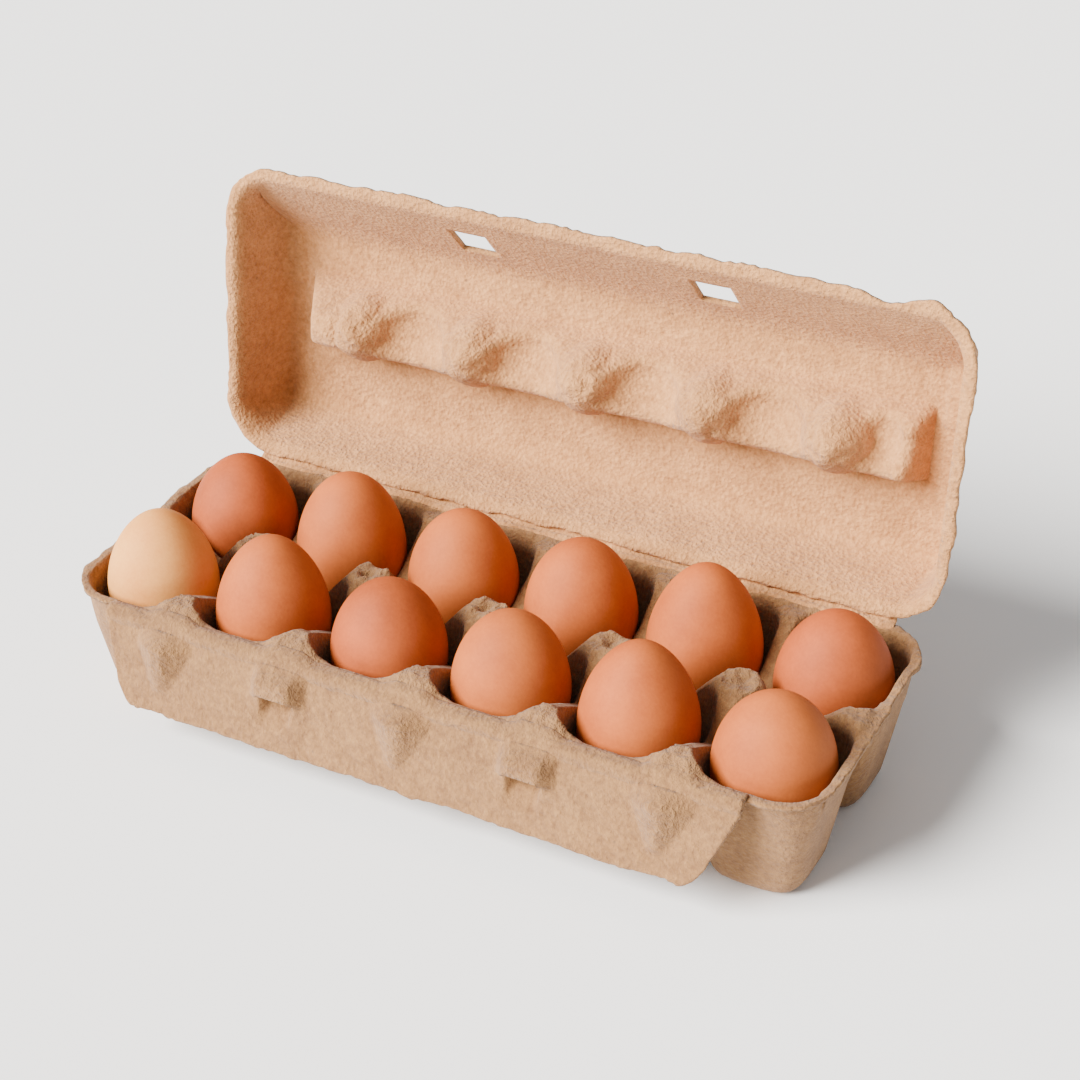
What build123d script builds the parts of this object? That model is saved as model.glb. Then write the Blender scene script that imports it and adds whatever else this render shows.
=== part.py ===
"""Twelve-egg moulded-pulp carton, two rows of six, standing open with its eggs in.

Frame: X runs along the carton, Y from the latch flap at the front to the lid hinge
at the back, +Z is up. The origin is on the surface that the cups stand on, midway
along the carton and midway between the two rows.
"""

from build123d import *
from math import atan2, cos, degrees, radians, sin
import os

# ---- driving dimensions, millimetres and degrees ----
columns = 6
pitch = 50.0  # cell to cell along X
row_gap = 54.0  # front row to back row along Y
pulp = 1.6  # wall of the cups and the flap
board = 2.0  # thickness of the lid and the rim

hinge_y, hinge_z = 57.5, 53.0  # lid hinge line
fold_y, fold_z = -57.5, 45.0  # flap fold line
rim_front_y, rim_front_z = -55.2, 46.0  # top edge of the front rim
rim_length = 304.0
rim_corner = 20.0
post_top = 52.0  # posts between four cells
peak_top = 50.0  # half posts along the front wall
peak_y = -46.5

crease_radius = 1.0
crease_length = 262.0
crease_web = 0.8  # thickness where the front crease joins the rim
hinge_clearance = 0.1  # round the creases
panel_clearance = 0.4  # lid rim above the tray rim when shut

lid_length, lid_width, lid_depth = 306.0, 120.0, 33.0
lid_corner = 22.0
lid_lip = 3.6  # flat band round the lid's mouth
lid_side_draft = 4.0
lid_back_slope, lid_front_slope = 9.0, 28.0  # how far the walls lean in
open_angle = 96.0  # lid plane from level, as it stands open

ridge_depth = 19.0
knob_tip = 3.2  # above the lid's mouth
slot_width, slot_length = 15.0, 16.0
slot_centre = 19.5  # up the front wall from its foot
latch_columns = (-pitch, pitch)

flap_length, flap_width = 33.0, 256.0
flap_side_angle = 70.0  # the flap narrows towards its free edge
flap_lean = 20.0  # from the vertical, as it hangs open
rib_height = 3.5
rib_start, rib_end = 6.0, 22.0
button_height = 5.5
button_start, button_end = 14.0, 26.0  # down the flap from the fold

# Egg sizes: widest radius, rise above and drop below the widest level, by column.
egg_level = 40.5  # widest level above the table
front_eggs = ((21.0, 30.5, 29.0), (21.3, 33.0, 30.5), (21.3, 28.5, 28.5),
              (21.4, 30.0, 29.0), (21.4, 33.0, 31.0), (21.4, 27.5, 28.5))
back_eggs = ((21.1, 28.5, 28.5), (21.4, 33.0, 30.5), (21.2, 30.0, 29.0),
             (21.3, 31.0, 29.5), (21.4, 35.0, 31.5), (21.4, 29.5, 29.0))

# ---- values worked out from them ----
rim_tilt = degrees(atan2(hinge_z - rim_front_z, hinge_y - rim_front_y))
hinge_axis = Vector(0, hinge_y, hinge_z)
fold_axis = Vector(0, fold_y, fold_z)
between = [(column - columns / 2 + 1) * pitch for column in range(columns - 1)]
on_foot = (Align.CENTER, Align.CENTER, Align.MIN)
on_back = (Align.CENTER, Align.MIN, Align.CENTER)
wall_lean = degrees(atan2(lid_front_slope, lid_depth - panel_clearance))

os.makedirs("parts", exist_ok=True)


def leaning(origin, angle, offset=0.0):
    """A plane whose X is the carton's X, level and facing up, then turned about X."""
    normal = Vector(0, -sin(radians(angle)), cos(radians(angle)))
    return Plane(origin=origin + normal * offset, x_dir=(1, 0, 0), z_dir=normal)


def save(builder, name):
    builder.part.label = name
    export_step(builder.part, f"parts/{name}.step")


# ---- shapes used more than once ----
def tapered(sections):
    """A solid lofted through rounded rectangles: plane, length along X, width, corner radius."""
    with BuildPart() as block:
        for plane, length, width, corner in sections:
            with BuildSketch(plane):
                RectangleRounded(length, width, corner)
        loft(ruled=True)
    return block.part


def upright(height, middle_y=0.0):
    return Plane(origin=(0, middle_y, height))


# ---- tray: twelve cups, the posts between them and a leaning rim, in one sheet ----
cup_sections = ((0.0, 14.5), (5.0, 17.5), (30.0, 22.3), (56.0, 24.95))  # height, half width
cup_corner = 12.0
web_cut_length, web_cut_depth = 22.0, 12.0  # dip in the web between two cells
web_gaps = (8.0, 10.0)  # across a web, between columns and between rows
post_foot, post_size, post_tip = 30.0, 26.0, 9.0
peak_foot_y, peak_foot_size, peak_tip = -47.0, 24.0, 7.0
rim_depth = (hinge_y - rim_front_y) / cos(radians(rim_tilt))
rim_middle = Locations((0, -rim_depth / 2))


def cup(inset):
    """One cup as a solid, inset by a wall on every side and at its floor."""
    sections = []
    for height, half in cup_sections:
        side = 2 * (half - inset)
        floor = inset if height == 0 else 0
        sections.append((upright(height + floor), side, side + row_gap - pitch, cup_corner - inset))
    return tapered(sections)


cup_outside = cup(0)
cup_inside = cup(pulp)
post = tapered(((upright(post_foot), post_size, post_size, post_size / 3),
                (upright(post_top), post_tip, post_tip, post_tip / 3)))
post_hollow = tapered(((upright(post_foot - board), post_size - 2 * board, post_size - 2 * board, post_size / 4),
                       (upright(post_top - board), post_tip - 2 * board, post_tip - 2 * board, post_tip / 6)))
half_post = tapered(((upright(post_foot, peak_foot_y), peak_foot_size, peak_foot_size / 2, peak_foot_size / 5),
                     (upright(peak_top, peak_y), peak_tip, peak_tip / 2, peak_tip / 5)))

with BuildPart() as tray:
    with GridLocations(pitch, row_gap, columns, 2):
        add(cup_outside)
    with BuildSketch(leaning(hinge_axis, rim_tilt, -board)):
        with rim_middle:
            RectangleRounded(rim_length, rim_depth, rim_corner)
    extrude(amount=board)
    # the cups end at the leaning rim
    with BuildSketch(leaning(hinge_axis, rim_tilt)):
        with rim_middle:
            Rectangle(2 * rim_length, 2 * rim_depth)
    extrude(amount=hinge_z, mode=Mode.SUBTRACT)
    # the webs between cells dip below the rim
    with GridLocations(pitch, row_gap, columns - 1, 2):
        with Locations((0, 0, rim_front_z - web_cut_depth)):
            Box(web_gaps[0], web_cut_length, hinge_z, align=on_foot, mode=Mode.SUBTRACT)
    with GridLocations(pitch, 0, columns, 1):
        with Locations((0, 0, rim_front_z - web_cut_depth)):
            Box(web_cut_length, web_gaps[1], hinge_z, align=on_foot, mode=Mode.SUBTRACT)
    # the dips' own floor joins the cups
    with BuildSketch(Plane.XY.offset(rim_front_z - web_cut_depth - pulp)):
        Rectangle((columns - 1) * pitch, row_gap + web_cut_length)
    extrude(amount=pulp)
    # posts and half posts stand up through it, hollow from below
    with GridLocations(pitch, 0, columns - 1, 1):
        add(post)
        add(half_post)
        add(post_hollow, mode=Mode.SUBTRACT)
    with GridLocations(pitch, row_gap, columns, 2):
        add(cup_inside, mode=Mode.SUBTRACT)
    # room for the lid's crease
    with Locations(Location(hinge_axis, (0, 90, 0))):
        Cylinder(crease_radius, crease_length, mode=Mode.SUBTRACT)
save(tray, "tray")

# ---- the two creases, where the sheet is pressed thin and folds ----
with BuildPart() as rear_crease:
    with Locations(Location(hinge_axis, (0, 90, 0))):
        Cylinder(crease_radius, crease_length)
save(rear_crease, "rear_crease")

with BuildPart() as front_crease:
    with Locations(Location(fold_axis, (0, 90, 0))):
        Cylinder(crease_radius, crease_length)
    with Locations(fold_axis):
        Box(crease_length, rim_front_y - fold_y, crease_web, align=on_back)
save(front_crease, "front_crease")

# ---- lid: a drafted shell with a lip, a spacer ridge with five knobs, two slots ----
ridge_length, ridge_foot = 262.0, 30.0  # where it meets the panel
ridge_crest_length, ridge_crest = 246.0, 15.0
knob_size, knob_end = 22.0, 7.0
ridge_corners, knob_corners = (6.0, 3.0), (5.0, 1.2)  # at the panel, at the crest
knob_y = hinge_y  # the knobs meet the posts, which stand at Y 0


def lid_level(height, from_hinge=0.0):
    """A plane parallel to the lid's mouth, its origin this far from the hinge line."""
    plane = leaning(hinge_axis, -open_angle, height)
    return Plane(plane.from_local_coords((0, -from_hinge, 0)), x_dir=plane.x_dir, z_dir=plane.z_dir)


def lid_block(wall):
    """The lid's shell as a solid, its walls and panel moved in by a wall."""
    inset = lid_lip - board + wall
    panel_width = lid_width - lid_back_slope - lid_front_slope
    return tapered(((lid_level(panel_clearance, lid_width / 2),
                     lid_length - 2 * inset, lid_width - 2 * inset, lid_corner - inset),
                    (lid_level(lid_depth - wall, lid_back_slope + panel_width / 2),
                     lid_length - 2 * (lid_side_draft + inset), panel_width - 2 * wall, lid_corner - wall)))


def lid_ridge(wall):
    """The spacer ridge as a solid, its walls moved in by a wall."""
    return tapered(((lid_level(lid_depth, knob_y), ridge_length - 2 * wall, ridge_foot - 2 * wall,
                     ridge_corners[0]),
                    (lid_level(lid_depth - ridge_depth + wall, knob_y),
                     ridge_crest_length - 2 * wall, ridge_crest - 2 * wall, ridge_corners[1])))


def knob(wall):
    root, tip = knob_size - 2 * wall, knob_end - 2 * wall
    return tapered(((lid_level(lid_depth, knob_y), root, root, knob_corners[0]),
                    (lid_level(knob_tip + wall, knob_y), tip, tip, knob_corners[1])))


def slot_place(x):
    """Where a slot goes: on the front wall, square to it."""
    lean = radians(wall_lean)
    up_wall = (-(lid_width - lid_lip) + slot_centre * sin(lean), panel_clearance + slot_centre * cos(lean))
    mouth = leaning(hinge_axis, -open_angle)
    centre = mouth.from_local_coords((x, up_wall[0], up_wall[1]))
    return leaning(centre, 90 - wall_lean - open_angle).location


with BuildPart() as lid:
    add(lid_block(0))
    with BuildSketch(lid_level(panel_clearance, lid_width / 2)):
        RectangleRounded(lid_length, lid_width, lid_corner)
    extrude(amount=board)
    add(lid_block(board), mode=Mode.SUBTRACT)
    with BuildSketch(lid_level(panel_clearance - board, lid_width / 2)):
        RectangleRounded(lid_length - 2 * lid_lip, lid_width - 2 * lid_lip, lid_corner - lid_lip)
    extrude(amount=2 * board, mode=Mode.SUBTRACT)
    add(lid_ridge(0))
    for x in between:
        add(Location((x, 0, 0)) * knob(0))
    add(lid_ridge(board), mode=Mode.SUBTRACT)
    for x in between:
        add(Location((x, 0, 0)) * knob(board), mode=Mode.SUBTRACT)
    # slots through the front wall for the latch buttons
    for x in latch_columns:
        with Locations(slot_place(x)):
            Box(slot_width, slot_length, 6 * board, mode=Mode.SUBTRACT)
    with Locations(Location(hinge_axis, (0, 90, 0))):
        Cylinder(crease_radius + hinge_clearance, 2 * rim_length, mode=Mode.SUBTRACT)
save(lid, "lid")

# ---- locking flap: a leaning panel with ribs in front and two buttons behind ----
flap_angle = 90.0 - flap_lean
rib_width = 24.0
button_width = slot_width - 2.0
wedge_corners = (2.0, 0.7)  # at its foot, at its crest
flap_start, flap_corner = 2.0, 8.0
crest_place, crest_share = 0.28, 0.4  # where a rib or button is highest, and how wide it is there


def flap_at(down, offset=0.0):
    """A plane parallel to the flap's front face, this far down from the fold."""
    plane = leaning(fold_axis, flap_angle, offset)
    return Plane(plane.from_local_coords((0, -down, 0)), x_dir=plane.x_dir, z_dir=plane.z_dir)


def wedge(x, start, end, width, height, front):
    """A rib or a button: a ridge that ends in a slope, on the front or back of the flap."""
    side = 1 if front else -1
    length = end - start
    base = flap_at(start + length / 2)
    crest = flap_at(start + length * crest_place, side * (pulp / 2 + height))
    block = tapered(((base, width, length, wedge_corners[0]),
                     (crest, width * crest_share, length * crest_share, wedge_corners[1])))
    return Location((x, 0, 0)) * block


with BuildPart() as locking_flap:
    with BuildSketch(flap_at((flap_start + flap_length) / 2, -pulp / 2)) as panel:
        Trapezoid(flap_width, flap_length - flap_start, flap_side_angle, rotation=180)
        fillet(panel.vertices().sort_by(Axis.Y)[:2], flap_corner)
    extrude(amount=pulp)
    with BuildSketch(flap_at(flap_start, -crease_web / 2)):
        Rectangle(flap_width - 2 * flap_corner, 2 * flap_start)
    extrude(amount=crease_web)
    for x in between:
        add(wedge(x, rib_start, rib_end, rib_width, rib_height, True))
    for x in latch_columns:
        add(wedge(x, button_start, button_end, button_width, button_height, False))
    with Locations(Location(fold_axis, (0, 90, 0))):
        Cylinder(crease_radius + hinge_clearance, 2 * rim_length, mode=Mode.SUBTRACT)
save(locking_flap, "locking_flap")

# ---- twelve eggs, each a body of revolution standing in its cell ----
full = 0.5523  # control handle that makes a quarter curve an ellipse


def egg_body(radius, rise, drop):
    """Two quarter curves meeting at the widest level, turned about the upright axis."""
    with BuildPart() as body:
        with BuildSketch(Plane.XZ):
            with BuildLine():
                below = Bezier((0, -drop), (full * radius, -drop), (radius, -full * drop), (radius, 0))
                above = Bezier((radius, 0), (radius, full * rise), (full * radius, rise), (0, rise))
                Line(above @ 1, below @ 0)
            make_face()
        revolve(axis=Axis.Z)
    return body.part


for row, y, sizes in (("front", -row_gap / 2, front_eggs), ("back", row_gap / 2, back_eggs)):
    for number, (radius, rise, drop) in enumerate(sizes, start=1):
        x = (number - (columns + 1) / 2) * pitch
        with BuildPart() as egg:
            with Locations((x, y, egg_level)):
                add(egg_body(radius, rise, drop))
        save(egg, f"egg_{row}_{number}")
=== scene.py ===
import math

import bpy
import numpy as np
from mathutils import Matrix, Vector


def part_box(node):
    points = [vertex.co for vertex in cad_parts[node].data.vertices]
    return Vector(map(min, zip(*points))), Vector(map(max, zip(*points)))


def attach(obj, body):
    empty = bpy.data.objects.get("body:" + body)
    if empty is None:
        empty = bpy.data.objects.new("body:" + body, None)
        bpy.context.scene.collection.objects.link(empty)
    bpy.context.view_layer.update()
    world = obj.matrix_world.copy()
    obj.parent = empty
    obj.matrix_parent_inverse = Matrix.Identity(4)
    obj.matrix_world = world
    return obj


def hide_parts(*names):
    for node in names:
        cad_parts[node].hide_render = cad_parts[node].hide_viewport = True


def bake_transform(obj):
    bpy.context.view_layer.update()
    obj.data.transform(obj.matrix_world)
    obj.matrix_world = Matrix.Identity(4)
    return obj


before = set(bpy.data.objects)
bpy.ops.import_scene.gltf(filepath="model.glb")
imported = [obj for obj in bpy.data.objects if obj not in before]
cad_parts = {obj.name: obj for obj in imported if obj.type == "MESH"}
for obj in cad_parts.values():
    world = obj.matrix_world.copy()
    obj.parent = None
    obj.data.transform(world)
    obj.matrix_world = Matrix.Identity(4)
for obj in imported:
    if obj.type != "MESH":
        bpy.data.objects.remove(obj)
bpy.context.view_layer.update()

MM = 0.001  # sizes are in millimetres and a finished mesh is in metres

# ---------------------------------------------------------------- the pulp tray
# One sheet of moulded paper pulp: twelve tapered cups in two rows, joined by low webs,
# with hollow posts between them. It is sucked onto a wire screen and dried, so it has one
# smooth side and one rough side, and a torn-looking fibrous edge.
PITCH, ROW_GAP, COLUMNS = 50.0, 54.0, 6
RIM_HALF_LENGTH, RIM_CORNER = 152.0, 20.0
RIM_FRONT_Y, RIM_FRONT_Z = -55.2, 46.0
HINGE_Y, HINGE_Z = 57.5, 53.0
TRAY_BACK_Y = HINGE_Y - 0.4
PULP = 1.6
WEB_LEVEL = 34.0
# inside of a cup: half width, height
CUP_HALF = (0.0, 8.0, 12.4, 14.6, 15.9, 21.2, 21.8, 23.35, 27.0)
CUP_RISE = (2.4, 1.9, 1.9, 3.0, 5.6, 36.0, 37.0, 56.0, 92.0)
CUP_MOUTH, SQUARENESS = 22.0, 4.2  # a squareness of 2 is round
# the rim's flat and the fall inside it, and where a cup's wall meets the rim and how steeply
RIM_FLAT, RIM_FALL = 4.5, 1.7
WALL_START, WALL_SLOPE = 3.6, 9.8
# peaks: the top's height and place, and for each way half its flat and the fall per mm past it
POST_TOP, POST_SIDE = 52.2, (6.3, 1.2)
DIMPLE, DIMPLE_RADIUS = 2.6, 2.9
PEAK_TOP, PEAK_Y, PEAK_ALONG, PEAK_ACROSS = 51.4, -47.5, (5.4, 0.52), (3.0, 0.62)
END_TOP, END_X, END_ALONG, END_ACROSS = 51.3, 142.5, (4.0, 0.8), (4.0, 0.5)
BACK_TOP, BACK_Y, BACK_ALONG, BACK_ACROSS = 52.3, 48.0, (4.0, 0.7), (3.0, 0.8)
PEAK_BLEND, CUP_BLEND = 1.0, 1.6
# unevenness of the sheet: height, length and seed of each wave
FRAYED = (0.6, 2.3, 3), (0.8, 8.0, 5), (0.5, 21.0, 6)
TORN = (0.35, 2.6, 11), (0.3, 5.5, 12)
CRUMBLED = (1.3, 3.4, 14), (0.7, 1.9, 15)
TRAY_WARP = ((0.25, 28.0, 13),)
FRAY_REACH, FRAY_IN = 2.5, 0.5
TORN_AWAY, CRUMBLED_AWAY = 0.4, 0.6
TORN_FROM, TORN_FULL = 44.0, 50.0
CRUMBS_FROM, CRUMBS_FULL, WARP_IN = 11.0, 8.0, 6.0
FUZZ_FROM, FUZZ_FULL, FUZZY_RIM, PEAK_REACH = 42.0, 50.0, 4.0, 12.0


def value_noise(x, y, size, seed):
    """Smooth noise between -1 and 1 on a lattice of this size, the same on every run."""
    u, v = x / size, y / size
    i, j = np.floor(u), np.floor(v)
    fu, fv = u - i, v - j
    fu, fv = fu * fu * (3 - 2 * fu), fv * fv * (3 - 2 * fv)

    def corner(di, dj):
        value = np.sin((i + di) * 127.1 + (j + dj) * 311.7 + seed * 74.7) * 43758.5453
        return 2 * (value - np.floor(value)) - 1

    low = corner(0, 0) * (1 - fu) + corner(1, 0) * fu
    high = corner(0, 1) * (1 - fu) + corner(1, 1) * fu
    return low * (1 - fv) + high * fv


def waves(x, y, sizes):
    """A sum of noises, each given as height, length and seed."""
    return sum(high * value_noise(x, y, length, seed) for high, length, seed in sizes)


def ramp(value, start, end):
    """Rises from 0 to 1 as the value goes from start to end, which may be the lower of the two."""
    return np.clip((value - start) / (end - start), 0, 1)


def peak(top, *sides):
    """A flat-topped peak. Each side is a distance from its middle, with half its flat and its fall."""
    for distance, (flat, fall) in sides:
        top = top - fall * np.maximum(distance - flat, 0)
    return top


def smooth_min(a, b, blend):
    """The lesser of two heights, with the corner between them rounded."""
    mix = np.clip(0.5 + 0.5 * (b - a) / blend, 0, 1)
    return b * (1 - mix) + a * mix - blend * mix * (1 - mix)


def smooth_max(a, b, blend):
    return -smooth_min(-a, -b, blend)


def near_line(position, offset=0.0, lines=5):
    """Signed distance to the nearest of the lines between columns."""
    half = (lines - 1) / 2
    nearest = np.clip(np.round((position - offset) / PITCH), -half, half)
    return position - offset - nearest * PITCH


def inward(x, y, half_x, low_y, high_y, corner):
    """How far a point is inside a rectangle with rounded corners."""
    dx = half_x - corner - np.abs(x)
    dy = np.minimum(y - low_y, high_y - y) - corner
    near_corner = corner - np.hypot(np.maximum(-dx, 0), np.maximum(-dy, 0))
    return np.where((dx < 0) & (dy < 0), near_corner, np.minimum(dx, dy) + corner)


def torn_outline(x, y, half_x, low_y, high_y, corner, rough):
    """Rounds the corners of a rectangular grid, by radius, and roughens its edge."""
    middle, half_y = (low_y + high_y) / 2, (high_y - low_y) / 2
    u = np.maximum(np.abs(x) - (half_x - corner), 0)
    v = np.maximum(np.abs(y - middle) - (half_y - corner), 0)
    size = np.maximum(np.hypot(u, v), 1e-6)
    shrink = np.where((u > 0) & (v > 0), np.maximum(u, v) / size, 1.0)
    to_edge = corner - np.maximum(u, v)
    sx = x - np.sign(x) * u * (1 - shrink)
    sy = y - np.sign(y - middle) * v * (1 - shrink)
    pull = rough * ramp(to_edge, FRAY_REACH, 0) * (waves(sx, sy, FRAYED) - FRAY_IN)
    return sx + pull * np.sign(x) * u / size, sy + pull * np.sign(y - middle) * v / size


def pulp_sheet(name, xs, ys, height, place, outline, holes, fuzz, thickness, up):
    """A sheet over a grid: height shapes it, place puts it in the carton, Solidify gives its wall."""
    x, y = np.meshgrid(xs, ys, indexing="ij")
    x, y = x.ravel(), y.ravel()
    x, y = outline(x, y)
    h = height(x, y)
    points = place(x, y, h) * MM
    nx, ny = len(xs), len(ys)
    i, j = np.meshgrid(np.arange(nx - 1), np.arange(ny - 1), indexing="ij")
    a = (i * ny + j).ravel()
    quads = np.stack([a, a + ny, a + ny + 1, a + 1], 1)
    for x0, x1, y0, y1 in holes:
        mid_x, mid_y = x[quads].mean(1), y[quads].mean(1)
        quads = quads[~((mid_x > x0) & (mid_x < x1) & (mid_y > y0) & (mid_y < y1))]
    if not up:
        quads = quads[:, ::-1]
    used = np.unique(quads)
    renumber = np.zeros(len(x), int)
    renumber[used] = np.arange(len(used))
    mesh = bpy.data.meshes.new(name)
    mesh.from_pydata(points[used].tolist(), [], renumber[quads].tolist())
    rough = mesh.attributes.new("fuzz", "FLOAT", "POINT")
    rough.data.foreach_set("value", fuzz(x, y, h)[used].astype(np.float32))
    sheet = bpy.data.objects.new(name, mesh)
    bpy.context.collection.objects.link(sheet)
    wall = sheet.modifiers.new("wall", "SOLIDIFY")
    wall.thickness = thickness * MM
    wall.offset = -1
    wall.use_even_offset = False
    return finished(sheet)


def finished(piece):
    """Applies a piece's modifiers, so that what rides is a plain mesh, and smooths its shading."""
    bpy.context.view_layer.update()
    graph = bpy.context.evaluated_depsgraph_get()
    mesh = bpy.data.meshes.new_from_object(piece.evaluated_get(graph))
    piece.modifiers.clear()
    piece.data = mesh
    mesh.shade_smooth()
    return piece


def rim_level(y):
    """The rim rises in a straight line from the front to the hinge."""
    return RIM_FRONT_Z + (y - RIM_FRONT_Y) * (HINGE_Z - RIM_FRONT_Z) / (HINGE_Y - RIM_FRONT_Y)


def tray_height(x, y):
    """The sheet's upper face: cups, and between them whichever stands highest of rim, web and peaks."""
    column = np.clip(np.floor(x / PITCH), -COLUMNS / 2, COLUMNS / 2 - 1) * PITCH + PITCH / 2
    dx = np.abs(x - column)
    dy = np.abs(np.abs(y) - ROW_GAP / 2)
    dy = dy * CUP_MOUTH / (CUP_MOUTH + (ROW_GAP - PITCH) / 2)
    across = (dx ** SQUARENESS + dy ** SQUARENESS) ** (1 / SQUARENESS)
    line = np.abs(near_line(x))
    edge = inward(x, y, RIM_HALF_LENGTH, RIM_FRONT_Y, HINGE_Y, RIM_CORNER)
    cup = np.interp(across, CUP_HALF, CUP_RISE)
    cup = np.maximum(cup, rim_level(y) - WALL_SLOPE * (edge - WALL_START))
    rim = rim_level(y) - RIM_FALL * np.maximum(edge - RIM_FLAT, 0)
    from_post = np.hypot(line, y)
    post = peak(POST_TOP, (np.maximum(line, np.abs(y)), POST_SIDE))
    post = post - DIMPLE * np.exp(-(from_post / DIMPLE_RADIUS) ** 2)
    front_peak = peak(PEAK_TOP, (line, PEAK_ALONG), (np.abs(y - PEAK_Y), PEAK_ACROSS))
    end_peak = peak(END_TOP, (np.abs(y), END_ACROSS), (np.abs(np.abs(x) - END_X), END_ALONG))
    back_peak = peak(BACK_TOP, (line, BACK_ALONG), (np.abs(y - BACK_Y), BACK_ACROSS))
    cap = np.maximum(rim, WEB_LEVEL)
    for bump in (post, front_peak, end_peak, back_peak):
        cap = smooth_max(cap, bump, PEAK_BLEND)
    z = smooth_min(cup, cap, CUP_BLEND)
    torn = ramp(z, TORN_FROM, TORN_FULL)
    crumbled = ramp(from_post, CRUMBS_FROM, CRUMBS_FULL) * torn
    z = z + torn * (waves(x, y, TORN) - TORN_AWAY)
    z = z + crumbled * (waves(x, y, CRUMBLED) - CRUMBLED_AWAY)
    return z + waves(x, y, TRAY_WARP) * ramp(edge, 0, WARP_IN)


def tray_fuzz(x, y, h):
    """How far the fibres stand up: most on the peaks and along the torn rim."""
    edge = inward(x, y, RIM_HALF_LENGTH, RIM_FRONT_Y, HINGE_Y, RIM_CORNER)
    near_peaks = np.abs(near_line(x)) < PEAK_REACH
    raised = ramp(h, FUZZ_FROM, FUZZ_FULL) + 0.5 * ramp(edge, FUZZY_RIM, 0)
    return np.clip(raised, 0, 1) * (0.6 + 0.4 * near_peaks)


tray = pulp_sheet(
    "pulp_tray",
    np.linspace(-RIM_HALF_LENGTH, RIM_HALF_LENGTH, 325),
    np.linspace(RIM_FRONT_Y, TRAY_BACK_Y, 121),
    tray_height,
    lambda x, y, h: np.stack([x, y, h], 1),
    lambda x, y: torn_outline(x, y, RIM_HALF_LENGTH, RIM_FRONT_Y, TRAY_BACK_Y, RIM_CORNER, 0.6),
    (),
    tray_fuzz,
    PULP,
    True,
)
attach(tray, "tray")
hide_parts("tray")


# Recycled moulded pulp: felted paper fibre dried on a wire screen. It gives the eye a dry,
# warm buff surface with soft mottling, fine felt pits, and a fuzzy broken grain on the
# peaks and torn edges, where the fibres stand up.
def linear(code):
    """An sRGB hex colour as linear RGBA."""
    parts = [int(code[i:i + 2], 16) / 255 for i in (1, 3, 5)]
    return [c / 12.92 if c <= 0.04045 else ((c + 0.055) / 1.055) ** 2.4 for c in parts] + [1.0]


def node(tree, kind, settings=None, links=None):
    """Adds a node: settings by property or input name, links as input name to output socket."""
    made = tree.nodes.new(kind)
    for key, value in (settings or {}).items():
        if isinstance(key, str) and hasattr(made, key):
            setattr(made, key, value)
        else:
            made.inputs[key].default_value = value
    for key, socket in (links or {}).items():
        tree.links.new(socket, made.inputs[key])
    return made


def new_material(name):
    """A material with an empty tree."""
    material = bpy.data.materials.new(name)
    material.use_nodes = True
    tree = material.node_tree
    tree.nodes.clear()
    return material, tree


# sizes in the pulp; the pits and fibres are drawn coarser than real ones so that they show
MOTTLE, GRAIN, FIBRE, PIT_SPACING, SPECK_SPACING = 14.0, 2.2, 1.1, 1.54, 16.0
SPECK_BROWN = "#5b4433"
FUZZ_GRAIN = 5.0


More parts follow.
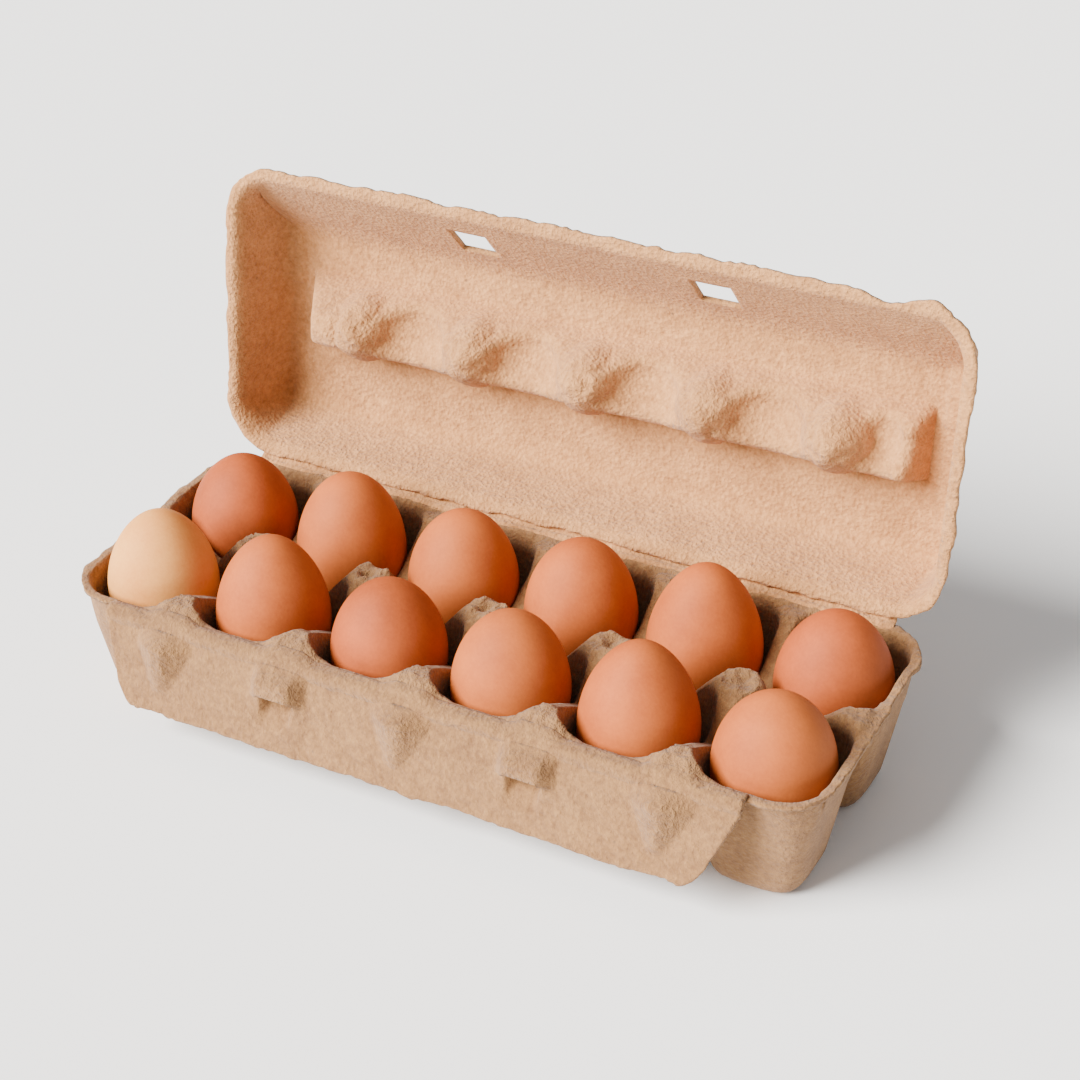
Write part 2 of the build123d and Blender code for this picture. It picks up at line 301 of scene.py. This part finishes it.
def pulp_material(name, light, dark, pits, seed):
    """Mottled pulp between two colours, with dark specks, felt pits this deep and fuzz where set."""
    material, tree = new_material(name)
    place = node(tree, "ShaderNodeTexCoord").outputs["Object"]
    place = node(tree, "ShaderNodeMapping", {"Location": (seed, seed * 2, seed * 3)},
                 {"Vector": place}).outputs[0]
    mottle = node(tree, "ShaderNodeTexNoise", {"Scale": 1 / (MOTTLE * MM), "Detail": 4.0, "Roughness": 0.6},
                  {"Vector": place})
    grain = node(tree, "ShaderNodeTexNoise", {"Scale": 1 / (GRAIN * MM), "Detail": 3.0, "Roughness": 0.7},
                 {"Vector": place})
    fibre = node(tree, "ShaderNodeTexNoise",
                 {"Scale": 1 / (FIBRE * MM), "Detail": 2.0, "Roughness": 0.6, "Distortion": 1.5},
                 {"Vector": place})
    pit = node(tree, "ShaderNodeTexVoronoi", {"Scale": 1 / (PIT_SPACING * MM), "Randomness": 1.0},
               {"Vector": place})
    speck = node(tree, "ShaderNodeTexVoronoi", {"Scale": 1 / (SPECK_SPACING * MM), "Randomness": 1.0},
                 {"Vector": place})
    fuzz = node(tree, "ShaderNodeAttribute", {"attribute_name": "fuzz"})
    tone = node(tree, "ShaderNodeMath", {"operation": "MULTIPLY_ADD", 1: 0.55},
                {0: mottle.outputs["Fac"], 2: grain.outputs["Fac"]})
    tone = node(tree, "ShaderNodeMapRange", {"From Min": 0.55, "From Max": 1.0}, {"Value": tone.outputs[0]})
    base = node(tree, "ShaderNodeMix", {"data_type": "RGBA", 6: linear(dark), 7: linear(light)},
                {0: tone.outputs[0]})
    spot = node(tree, "ShaderNodeMapRange",
                {"From Min": 0.028, "From Max": 0.05, "To Min": 0.55, "To Max": 0.0},
                {"Value": speck.outputs["Distance"]})
    base = node(tree, "ShaderNodeMix", {"data_type": "RGBA", 7: linear(SPECK_BROWN)},
                {0: spot.outputs[0], 6: base.outputs[2]})
    high = node(tree, "ShaderNodeMath", {"operation": "MULTIPLY_ADD", 1: pits},
                {0: pit.outputs["Distance"], 2: fibre.outputs["Fac"]})
    rough_grain = node(tree, "ShaderNodeMath", {"operation": "MULTIPLY"},
                       {0: grain.outputs["Fac"], 1: fuzz.outputs["Fac"]})
    high = node(tree, "ShaderNodeMath", {"operation": "MULTIPLY_ADD", 1: FUZZ_GRAIN},
                {0: rough_grain.outputs[0], 2: high.outputs[0]})
    bump = node(tree, "ShaderNodeBump", {"Strength": 0.8, "Distance": 0.45 * MM}, {"Height": high.outputs[0]})
    shader = node(tree, "ShaderNodeBsdfPrincipled",
                  {"Roughness": 0.93, "Specular IOR Level": 0.25,
                   "Sheen Weight": 0.12, "Sheen Roughness": 0.6},
                  {"Base Color": base.outputs[2], "Normal": bump.outputs[0]})
    node(tree, "ShaderNodeOutputMaterial", links={"Surface": shader.outputs[0]})
    return material


# The tray's buff is painted darker than the lid's, as painted shade; lid and tray are one sheet of the same
# pulp.
tray_pulp = pulp_material("moulded_pulp_buff_painted_shade", "#976e43", "#745030", 0.7, 0.0)
tray.data.materials.append(tray_pulp)

# ---------------------------------------------------------------- the locking flap
# The front edge of the same sheet, folded outwards along a pressed line. Five ribs run on
# from the half posts, and two of them end in hollow latch buttons that push through the
# lid's slots when it is shut.
FOLD_Y, FOLD_Z = -57.5, 45.0
FLAP_LEAN = math.radians(20.0)
FLAP_LENGTH, FLAP_HALF_WIDTH, FLAP_CORNER = 33.0, 128.0, 9.0
FLAP_TAPER = math.tan(math.radians(20.0))
FLAP_START, TAPER_START = 1.6, 88.0
RIB_HEIGHT, RIB_CREST, RIB_END = 6.2, 8.0, 25.0
BUTTON_START, BUTTON_END, BUTTON_DEPTH, BUTTON_HALF = 14.5, 25.0, 4.6, 5.3
BUTTON_EDGE, HOLLOW_RIM = 0.9, 0.3
# a rib's half width at its foot and top: at its tip, and what its crest adds
RIB_FOOT, RIB_TOP = (3.0, 9.0), (0.8, 1.6)
BLOCK_FOOT, BLOCK_TOP, LATCH_REACH = 11.5, 6.5, 16.0
# the shoulder beside a button: its height, and where it starts and is full, down and across
SHOULDER, SHOULDER_DOWN, SHOULDER_ACROSS = 2.2, (20.0, 6.0), (13.0, 8.0)
FLAP_BOW = 0.35
CRACK_DOWN, CRACK_HALF, CRACK_DEPTH = 3.2, 1.1, 0.9
FLAP_WARP = (0.4, 31.0, 21), (0.25, 7.0, 22)
FLAP_FELT = ((0.15, 2.4, 23),)


def spaced(low, high, step, through=()):
    """Even positions that also pass through the given ones."""
    marks = sorted({low, high, *through})
    lines = [marks[0]]
    for start, end in zip(marks, marks[1:]):
        count = max(1, round((end - start) / step))
        lines += [start + (end - start) * (k + 1) / count for k in range(count)]
    return np.array(lines)


def flap_height(x, down):
    """Height above the flap's plane: ribs, and two wide blocks that each end in a hollow button."""
    line = np.abs(near_line(x))
    latch = np.abs(np.abs(x) - PITCH)
    rise = ramp(down, 0, RIB_CREST)
    fall = ramp(down, RIB_END, RIB_CREST)
    foot, top = RIB_FOOT[0] + RIB_FOOT[1] * fall, RIB_TOP[0] + RIB_TOP[1] * fall
    rib = RIB_HEIGHT * rise * fall ** 0.8 * ramp(line, foot, top)
    block = RIB_HEIGHT * rise * ramp(latch, BLOCK_FOOT, BLOCK_TOP) * np.clip(1.15 - 0.02 * down, 0, 1)
    before = ramp(down, BUTTON_START, BUTTON_START - BUTTON_EDGE)
    side = ramp(down, *SHOULDER_DOWN) * ramp(latch, *SHOULDER_ACROSS) * SHOULDER * (1 - before)
    crack = CRACK_DEPTH * ramp(np.abs(down - CRACK_DOWN), CRACK_HALF, 0) * (latch < BLOCK_TOP)
    high = np.where(latch < LATCH_REACH, block * before + side - crack, rib)
    hollow = BUTTON_DEPTH * ramp(down, BUTTON_END, BUTTON_START)
    hollow = hollow * (1 - before) * ramp(latch, BUTTON_HALF + BUTTON_EDGE, BUTTON_HALF)
    high = np.where(hollow > 0, np.minimum(high, HOLLOW_RIM) - hollow, high)
    warp = (waves(x, down, FLAP_WARP) + FLAP_BOW) * rise
    return PULP / 2 + high + warp + waves(x, down, FLAP_FELT)


def flap_point(down, high):
    """Where a point of the flap is, as (y, z), from its distance down from the fold and its height."""
    return (FOLD_Y - down * math.sin(FLAP_LEAN) - high * math.cos(FLAP_LEAN),
            FOLD_Z - down * math.cos(FLAP_LEAN) + high * math.sin(FLAP_LEAN))


def flap_place(x, down, high):
    return np.stack([x, *flap_point(down, high)], 1)


def flap_outline(x, down):
    """Wide at the fold, narrowing to rounded corners at the torn free edge."""
    sx, sy = torn_outline(x, down, FLAP_HALF_WIDTH, -FLAP_LENGTH, FLAP_LENGTH, FLAP_CORNER, 0.7)
    return sx - np.sign(sx) * FLAP_TAPER * sy * ramp(np.abs(sx), TAPER_START, FLAP_HALF_WIDTH), sy


def flap_fuzz(x, down, high):
    return 0.7 * ramp(high, 0, RIB_HEIGHT) + 0.4 * ramp(down, 30, FLAP_LENGTH) + 0.15


flap = pulp_sheet(
    "locking_flap_pulp",
    spaced(-FLAP_HALF_WIDTH, FLAP_HALF_WIDTH, 1.1,
           [side * PITCH + k * (BUTTON_HALF + 0.4) for side in (-1, 1) for k in (-1, 1)]),
    spaced(FLAP_START, FLAP_LENGTH, 0.9, [BUTTON_START - 0.8, BUTTON_START]),
    flap_height,
    flap_place,
    flap_outline,
    (),
    flap_fuzz,
    PULP,
    False,
)
flap.data.materials.append(tray_pulp)
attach(flap, "locking_flap")
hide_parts("locking_flap")

# ---------------------------------------------------------------- the lid
# The other half of the sheet: a deep drafted dome with a flat lip. A ridge is pressed down
# its middle, with five knobs that stop on the tray's posts and scoops that clear the eggs,
# and two slots are punched in the sloping front wall for the latch buttons.
LID_HALF, LID_START, LID_WIDTH, LID_DEPTH, LID_GAP = 153.0, 1.4, 120.0, 30.6, 0.4
LID_CORNER, LIP = 22.0, 3.6
LID_WALL = 2.0
OPEN = math.radians(96.0)
FRONT_IN = 26.2
# inside of the walls in section: distance in from the lip, depth above the mouth
SIDE_WALL = (0, 1.6, 3.0, 4.4, 6.2, 8.6, 12, 20), (0, 12, 20, 25, 28.2, 30, 31, 45)
BACK_WALL = (0, 3, 6, 8.5, 11, 14, 18, 30), (0, 11, 21, 26.5, 29.2, 30.6, 31.4, 45)
# the ridge in section: distance from the hinge, depth above the mouth
RIDGE_S = (44.5, 48.0, 51.5, 55.0, 60.0, 61.5, 73.5)
RIDGE_H = (34.0, 16.5, 8.0, 6.2, 6.4, 9.0, 33.5)
RIDGE_LEFT, RIDGE_RIGHT = (-131.0, -116.0), (131.5, 123.0)  # at the panel, at the crest
RIDGE_CREST, RIDGE_END_DROP = 6.0, 27.0
KNOB_S, KNOB_TIP, KNOB_CURVE, KNOB_REACH = 56.8, 3.2, 0.1, 12.0
SCOOP_HALF, SCOOP_START, SCOOP_REACH = 21.0, 48.0, 24.0
SCOOP_FLOOR, SCOOP_SLOPE, SCOOP_DEPTH = 15.5, 0.75, 18.0
LAST_SCOOP_X, LAST_SCOOP_HALF = 118.0, 14.5
SLOT_HALF, SLOT_LOW, SLOT_HIGH = 7.9, 98.0, 109.0
# roundness of the corners between surfaces; the panel meets the front wall most softly
WALL_BLEND, RIDGE_BLEND, FRONT_BLEND, BACK_BLEND, MIDDLE = 2.0, 2.5, 7.0, 3.0, 50.0
SCOOP_BLEND, RIDGE_END_BLEND, KNOB_BLEND = 0.5, 1.5, 1.0
LID_WARP = (0.35, 33.0, 34), (0.14, 3.4, 35)
KNOB_CRUMBS = (1.0, 2.9, 31), (0.6, 1.6, 33)
CREST_CRUMBS = (0.5, 3.1, 36), (0.25, 1.7, 37)
# where the roughness starts and is full: distance from a knob, and depth of the ridge
ROUGH_KNOB, ROUGH_CREST = (11.0, 6.0), (20.0, 8.0)
KNOB_WORN, LID_BOW, OUT_OF_REACH = 0.6, 0.2, 40.0
# the rim's dent and the bump beside it: size, place along the lid, width
RIM_DENT, RIM_BUMP = (2.6, 119.0, 8.0), (1.2, 134.0, 5.0)


def lid_ridge(x, s):
    """Depth of the ridge's own surface, deeper than the panel where there is no ridge."""
    h = np.interp(s, RIDGE_S, RIDGE_H)
    last = x > 2 * PITCH
    middle = np.where(last, LAST_SCOOP_X, (np.clip(np.floor(x / PITCH), -2, 1) + 0.5) * PITCH)
    half = np.where(last, LAST_SCOOP_HALF, SCOOP_HALF)
    up = np.maximum(s - SCOOP_START, 0)
    bowl = 1 - ((x - middle) / half) ** 2 - (up / SCOOP_REACH) ** 2
    scoop = SCOOP_FLOOR + SCOOP_SLOPE * up - SCOOP_DEPTH * (1 - np.clip(bowl, 0, 1) ** 0.5)
    h = np.where((bowl > 0) & (s > SCOOP_START - 2), smooth_max(h, scoop, SCOOP_BLEND), h)
    for foot, crest in (RIDGE_LEFT, RIDGE_RIGHT):
        end = RIDGE_CREST + (x - crest) / (foot - crest) * RIDGE_END_DROP
        h = smooth_max(h, end, RIDGE_END_BLEND)
    from_knob = np.hypot(near_line(x), s - KNOB_S)
    beyond = OUT_OF_REACH * (from_knob > KNOB_REACH)
    h = smooth_min(h, KNOB_TIP + KNOB_CURVE * from_knob ** 2 + beyond, KNOB_BLEND)
    on_knob, on_crest = ramp(from_knob, *ROUGH_KNOB), ramp(h, *ROUGH_CREST)
    h = h + on_knob * (waves(x, s, KNOB_CRUMBS) + KNOB_WORN)
    return h + on_crest * waves(x, s, CREST_CRUMBS)


def lid_height(x, s):
    """Depth inside the lid above its mouth, s being the distance from the hinge across it."""
    back, front = s - LIP, LID_WIDTH - LIP - s
    inset = inward(x, s, LID_HALF - LIP, LIP, LID_WIDTH - LIP, LID_CORNER - LIP)
    walls = smooth_min(np.interp(inset, *SIDE_WALL), front * LID_DEPTH / FRONT_IN, WALL_BLEND)
    walls = smooth_min(walls, np.interp(back, *BACK_WALL), WALL_BLEND)
    h = smooth_min(walls, LID_DEPTH, np.where(front < MIDDLE, FRONT_BLEND, BACK_BLEND))
    h = smooth_min(h, lid_ridge(x, s), RIDGE_BLEND)
    h = np.where(inset < 0, 0, np.maximum(h, 0))
    return LID_GAP + h + (waves(x, s, LID_WARP) + LID_BOW) * np.clip(h / 4, 0.2, 1)


def lid_point(s, h):
    """Where a point of the open lid is, as (y, z), from its distance from the hinge and its depth."""
    return (HINGE_Y - s * math.cos(OPEN) + h * math.sin(OPEN),
            HINGE_Z + s * math.sin(OPEN) + h * math.cos(OPEN))


def lid_place(x, s, h):
    return np.stack([x, *lid_point(s, h)], 1)


def lid_fuzz(x, s, h):
    """How far the fibres stand up: most on the knobs, then the ridge's crest and the torn rim."""
    knobs = ramp(np.hypot(near_line(x), s - KNOB_S), 12, 6)
    crest = ramp(h, 22, 10) * (s < 76)
    edge = np.minimum(LID_HALF - np.abs(x), np.minimum(s, LID_WIDTH - s))
    return np.clip(knobs + 0.4 * crest + 0.6 * ramp(edge, 6, 1) + 0.06, 0, 1)


def lid_outline(x, s):
    """The torn rim, with one soft dent and the bump beside it near the right corner."""
    x, s = torn_outline(x, s, LID_HALF, LID_START, LID_WIDTH, LID_CORNER, 0.8)
    dent, bump = (size * np.exp(-((x - at) / width) ** 2) for size, at, width in (RIM_DENT, RIM_BUMP))
    return x, s - (dent - bump) * ramp(s, 100, 118)


# finer grid lines in the steep end walls, and lines on the slots' edges
wall_lines = [side * (LID_HALF - LIP - k) for side in (-1, 1) for k in np.arange(0, 9, 0.6)]
slot_lines = [side * PITCH + k * SLOT_HALF for side in (-1, 1) for k in (-1, 1)]
lid = pulp_sheet(
    "lid_pulp",
    spaced(-LID_HALF, LID_HALF, 1.05, wall_lines + slot_lines),
    spaced(LID_START, LID_WIDTH, 0.98, (LIP, LID_WIDTH - LIP, SLOT_LOW, SLOT_HIGH)),
    lid_height,
    lid_place,
    lid_outline,
    [(side * PITCH - SLOT_HALF, side * PITCH + SLOT_HALF, SLOT_LOW, SLOT_HIGH) for side in (-1, 1)],
    lid_fuzz,
    LID_WALL,
    False,
)
# The same moulded pulp, with deeper felt pits inside the lid, so it looks grainier than the tray.
# Its paler buff is painted light: a lit copy of the tray's colour, since lid and tray are one sheet.
lid_pulp = pulp_material("moulded_pulp_buff_painted_light", "#c48d58", "#9e6c3e", 1.5, 0.37)
lid.data.materials.append(lid_pulp)
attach(lid, "lid")
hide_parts("lid")

# ---------------------------------------------------------------- the two creases
# Where lid and flap fold, the sheet is pressed thin between dies and works as a hinge. It
# wrinkles in lines along the fold.
CREASE_WALL = 1.0
CREASE_LENGTHS, CREASE_STEPS = 220, 15
CREASE_SINK = 2.5


def crease(name, path, half_length, ripple, seed, raised=None):
    """A thin wrinkled strip along X, whose section follows a path of (y, z) points.

    raised gives a height along X, which is added at the path's start and fades out by its middle.
    """
    path = np.array(path)
    xs = np.linspace(-half_length, half_length, CREASE_LENGTHS)
    lengths = np.concatenate([[0], np.cumsum(np.hypot(*np.diff(path, axis=0).T))])
    along = np.linspace(0, lengths[-1], CREASE_STEPS)
    y = np.interp(along, lengths, path[:, 0])
    z = np.interp(along, lengths, path[:, 1])
    step_y, step_z = np.gradient(y), np.gradient(z)
    size = np.hypot(step_y, step_z)
    grid_x, grid_a = np.meshgrid(xs, along, indexing="ij")
    long_wrinkles = value_noise(grid_x / 7, grid_a, 1.6, seed)
    lift = ripple * (long_wrinkles + 0.4 * value_noise(grid_x, grid_a, 2.5, seed + 1))
    lift *= np.sin(np.clip(grid_a / lengths[-1], 0, 1) * math.pi) ** 0.5
    points = np.stack([grid_x, y - lift * step_z / size, z + lift * step_y / size], 2).reshape(-1, 3) * MM
    if raised:
        points[:, 2] += (raised(grid_x) * np.clip(1 - 1.9 * grid_a / lengths[-1], 0, 1)).ravel() * MM
    rows = len(along)
    faces = [(i * rows + j, (i + 1) * rows + j, (i + 1) * rows + j + 1, i * rows + j + 1)
             for i in range(len(xs) - 1) for j in range(rows - 1)]
    mesh = bpy.data.meshes.new(name)
    mesh.from_pydata(points.tolist(), [], faces)
    rough = mesh.attributes.new("fuzz", "FLOAT", "POINT")
    rough.data.foreach_set("value", np.full(len(points), 0.5, np.float32))
    strip = bpy.data.objects.new(name, mesh)
    bpy.context.collection.objects.link(strip)
    wall = strip.modifiers.new("wall", "SOLIDIFY")
    wall.thickness = CREASE_WALL * MM
    wall.offset = -1
    return finished(strip)


rear_crease = crease(
    "rear_crease_pulp",
    [(HINGE_Y - 4.5, rim_level(HINGE_Y - 4.5) - 1.0), (HINGE_Y - 3.0, rim_level(HINGE_Y - 3.0) + 0.3),
     (HINGE_Y - 1.2, HINGE_Z + 0.3), (HINGE_Y - 0.2, HINGE_Z + 0.8),
     lid_point(1.8, -0.1), lid_point(3.6, 0.1), lid_point(5.2, 1.6)],
    RIM_HALF_LENGTH - 16, 0.55, 51)
rear_crease.data.materials.append(lid_pulp)
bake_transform(rear_crease)
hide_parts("rear_crease")


def below_peaks(x):
    """How far the crease rises over the rim's front edge, to end just under each half post's top."""
    under = peak(PEAK_TOP, (np.abs(near_line(x)), PEAK_ALONG)) - CREASE_SINK
    return np.maximum(under - rim_level(RIM_FRONT_Y), 0)


front_crease = crease(
    "front_crease_pulp",
    [(FOLD_Y + 4.2, rim_level(FOLD_Y + 4.2) - 0.9), (FOLD_Y + 2.4, rim_level(FOLD_Y + 2.4) - 0.1),
     (FOLD_Y + 0.6, FOLD_Z + 0.8), flap_point(0.5, 0.9), flap_point(2.2, 1.0), flap_point(4.4, -0.3)],
    FLAP_HALF_WIDTH - 1.0, 0.35, 61, below_peaks)
front_crease.data.materials.append(tray_pulp)
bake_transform(front_crease)
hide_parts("front_crease")

# ---------------------------------------------------------------- the eggs
# Twelve hen's eggs, eleven brown and one pale. Shell is a thin chalky layer with a matt
# bloom, laid down by the hen, so no two have quite the same size, point or depth of brown.
EGG_LEVEL = 40.5  # height of the widest part
SHELL_CLOUD, SHELL_SPECKLE, PORE_SPACING = 22.0, 1.3, 1.0  # pores drawn coarser, so that they show


def egg_tree():
    """A sphere drawn out into an egg: one radius, a rise above and a drop below the widest level."""
    tree = bpy.data.node_groups.new("egg_shape", "GeometryNodeTree")
    tree.interface.new_socket("Geometry", in_out="INPUT", socket_type="NodeSocketGeometry")
    for name in ("Radius", "Rise", "Drop", "Point"):
        tree.interface.new_socket(name, in_out="INPUT", socket_type="NodeSocketFloat")
    tree.interface.new_socket("Centre", in_out="INPUT", socket_type="NodeSocketVector")
    tree.interface.new_socket("Shell", in_out="INPUT", socket_type="NodeSocketMaterial")
    tree.interface.new_socket("Geometry", in_out="OUTPUT", socket_type="NodeSocketGeometry")
    given = node(tree, "NodeGroupInput").outputs
    ball = node(tree, "GeometryNodeMeshUVSphere", {"Segments": 72, "Rings": 48, "Radius": 1.0})
    position = node(tree, "GeometryNodeInputPosition")
    where = node(tree, "ShaderNodeSeparateXYZ", links={0: position.outputs[0]})
    above = node(tree, "ShaderNodeMath", {"operation": "GREATER_THAN", 1: 0.0}, {0: where.outputs["Z"]})
    height = node(tree, "ShaderNodeMix", links={0: above.outputs[0], 2: given["Drop"], 3: given["Rise"]})
    tall = node(tree, "ShaderNodeMath", {"operation": "MULTIPLY"},
                {0: where.outputs["Z"], 1: height.outputs[0]})
    up = node(tree, "ShaderNodeMath", {"operation": "MAXIMUM", 1: 0.0}, {0: where.outputs["Z"]})
    bow = node(tree, "ShaderNodeMath", {"operation": "MULTIPLY"}, {0: up.outputs[0], 1: up.outputs[0]})
    bow = node(tree, "ShaderNodeMath", {"operation": "MULTIPLY"}, {0: bow.outputs[0], 1: given["Point"]})
    slim = node(tree, "ShaderNodeMath", {"operation": "SUBTRACT", 0: 1.0}, {1: bow.outputs[0]})
    wide = node(tree, "ShaderNodeMath", {"operation": "MULTIPLY"}, {0: slim.outputs[0], 1: given["Radius"]})
    x = node(tree, "ShaderNodeMath", {"operation": "MULTIPLY"}, {0: where.outputs["X"], 1: wide.outputs[0]})
    y = node(tree, "ShaderNodeMath", {"operation": "MULTIPLY"}, {0: where.outputs["Y"], 1: wide.outputs[0]})
    point = node(tree, "ShaderNodeCombineXYZ", links={0: x.outputs[0], 1: y.outputs[0], 2: tall.outputs[0]})
    moved = node(tree, "ShaderNodeVectorMath", {"operation": "ADD"},
                 {0: point.outputs[0], 1: given["Centre"]})
    egg = node(tree, "GeometryNodeSetPosition",
               links={"Geometry": ball.outputs["Mesh"], "Position": moved.outputs[0]})
    real = node(tree, "GeometryNodeRealizeInstances", links={0: egg.outputs[0]})
    shelled = node(tree, "GeometryNodeSetMaterial",
                   links={"Geometry": real.outputs[0], "Material": given["Shell"]})
    node(tree, "NodeGroupOutput", links={0: shelled.outputs[0]})
    return tree


def eggshell(name, light, dark, seed):
    """Matt eggshell: soft cloudy pigment, a scatter of fine darker speckles and pores."""
    material, tree = new_material(name)
    place = node(tree, "ShaderNodeTexCoord").outputs["Object"]
    place = node(tree, "ShaderNodeMapping", {"Location": (seed, 0, seed)}, {"Vector": place}).outputs[0]
    cloud = node(tree, "ShaderNodeTexNoise",
                 {"Scale": 1 / (SHELL_CLOUD * MM), "Detail": 3.0, "Roughness": 0.55}, {"Vector": place})
    speckle = node(tree, "ShaderNodeTexNoise",
                   {"Scale": 1 / (SHELL_SPECKLE * MM), "Detail": 2.0, "Roughness": 0.6}, {"Vector": place})
    pores = node(tree, "ShaderNodeTexVoronoi", {"Scale": 1 / (PORE_SPACING * MM)}, {"Vector": place})
    mix = node(tree, "ShaderNodeMath", {"operation": "MULTIPLY_ADD", 1: 0.35},
               {0: speckle.outputs["Fac"], 2: cloud.outputs["Fac"]})
    mix = node(tree, "ShaderNodeMapRange", {"From Min": 0.45, "From Max": 0.95}, {"Value": mix.outputs[0]})
    base = node(tree, "ShaderNodeMix", {"data_type": "RGBA", 6: linear(dark), 7: linear(light)},
                {0: mix.outputs[0]})
    bump = node(tree, "ShaderNodeBump", {"Strength": 0.12, "Distance": 0.2 * MM},
                {"Height": pores.outputs["Distance"]})
    shader = node(tree, "ShaderNodeBsdfPrincipled",
                  {"Roughness": 0.68, "Specular IOR Level": 0.22},
                  {"Base Color": base.outputs[2], "Normal": bump.outputs[0]})
    node(tree, "ShaderNodeOutputMaterial", links={"Surface": shader.outputs[0]})
    return material


egg_shape = egg_tree()
sockets = {item.name: item.identifier for item in egg_shape.interface.items_tree
           if item.in_out == "INPUT" and item.socket_type != "NodeSocketGeometry"}
# shell colours, light and dark
BROWN, DEEP = ("#b8612a", "#a04f20"), ("#ae5425", "#92431a")
RUSSET, PALE = ("#b65e28", "#9d4b1d"), ("#e0a057", "#cf8742")
# each egg's shell and how pointed its top is, from the left
LOOKS = {
    "front": ((PALE, 0.10), (RUSSET, 0.12), (DEEP, 0.04), (BROWN, 0.05), (RUSSET, 0.14), (BROWN, 0.02)),
    "back": ((DEEP, 0.06), (BROWN, 0.03), (BROWN, 0.05), (RUSSET, 0.02), (RUSSET, 0.14), (DEEP, 0.05)),
}
shells = {}
for row, looks in LOOKS.items():
    for number, (shell, sharpness) in enumerate(looks, start=1):
        label = f"egg_{row}_{number}"
        low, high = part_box(label)
        level = EGG_LEVEL * MM
        centre = ((high[0] + low[0]) / 2, (high[1] + low[1]) / 2, level)
        if shell not in shells:
            shells[shell] = eggshell(f"eggshell_{len(shells) + 1}", *shell, len(shells) * 0.31)
        egg = bpy.data.objects.new(f"shell_{row}_{number}", bpy.data.meshes.new(label))
        bpy.context.collection.objects.link(egg)
        grow = egg.modifiers.new("grow", "NODES")
        grow.node_group = egg_shape
        values = {"Radius": (high[0] - low[0]) / 2, "Rise": high[2] - level, "Drop": level - low[2],
                  "Point": sharpness, "Centre": centre, "Shell": shells[shell]}
        for name, value in values.items():
            grow[sockets[name]] = value
        finished(egg)
        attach(egg, label)
        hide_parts(label)

# ---------------------------------------------------------------- floor, light and camera
# A plain pale floor, a broad soft light high on the left, and a pale room.
FLOOR_HALF = 40.0  # metres, so that its edge is out of sight
ROOM_LIGHT, WINDOW_LIGHT, WINDOW_ANGLE = 0.45, 14.5, math.radians(38.0)
WINDOW_TOWARDS = Vector((0.52, 0.66, -0.54))
corners = [(x * FLOOR_HALF, y * FLOOR_HALF, 0) for x, y in ((-1, -1), (1, -1), (1, 1), (-1, 1))]
floor_mesh = bpy.data.meshes.new("floor")
floor_mesh.from_pydata(corners, [], [(0, 1, 2, 3)])
floor = bpy.data.objects.new("floor", floor_mesh)
bpy.context.collection.objects.link(floor)
paper, tree = new_material("white_paper")
white = node(tree, "ShaderNodeBsdfPrincipled", {"Base Color": linear("#ffffff"), "Roughness": 0.9})
node(tree, "ShaderNodeOutputMaterial", links={"Surface": white.outputs[0]})
floor_mesh.materials.append(paper)

world = bpy.data.worlds.new("room")
bpy.context.scene.world = world
world.use_nodes = True
world.node_tree.nodes["Background"].inputs["Color"].default_value = linear("#ffffff")
world.node_tree.nodes["Background"].inputs["Strength"].default_value = ROOM_LIGHT

window = bpy.data.lights.new("window", "SUN")
window.energy = WINDOW_LIGHT
window.angle = WINDOW_ANGLE
window.color = (1.0, 0.97, 0.93)
window_holder = bpy.data.objects.new("window", window)
window_holder.rotation_euler = WINDOW_TOWARDS.to_track_quat("-Z", "Y").to_euler()
bpy.context.collection.objects.link(window_holder)

AZIMUTH, ELEVATION, DISTANCE = math.radians(28.1), math.radians(30.2), 0.888
AIM = Vector((-0.0227, 0.0841, 0.030))
SENSOR, LENS = 36.0, 73.7667  # mm
away = Vector((math.sin(AZIMUTH) * math.cos(ELEVATION), -math.cos(AZIMUTH) * math.cos(ELEVATION),
               math.sin(ELEVATION)))
camera_data = bpy.data.cameras.new("camera")
camera_data.sensor_width = SENSOR
camera_data.lens = LENS
camera = bpy.data.objects.new("camera", camera_data)
camera.location = AIM + away * DISTANCE
camera.rotation_euler = (-away).to_track_quat("-Z", "Y").to_euler()
bpy.context.collection.objects.link(camera)
bpy.context.scene.camera = camera
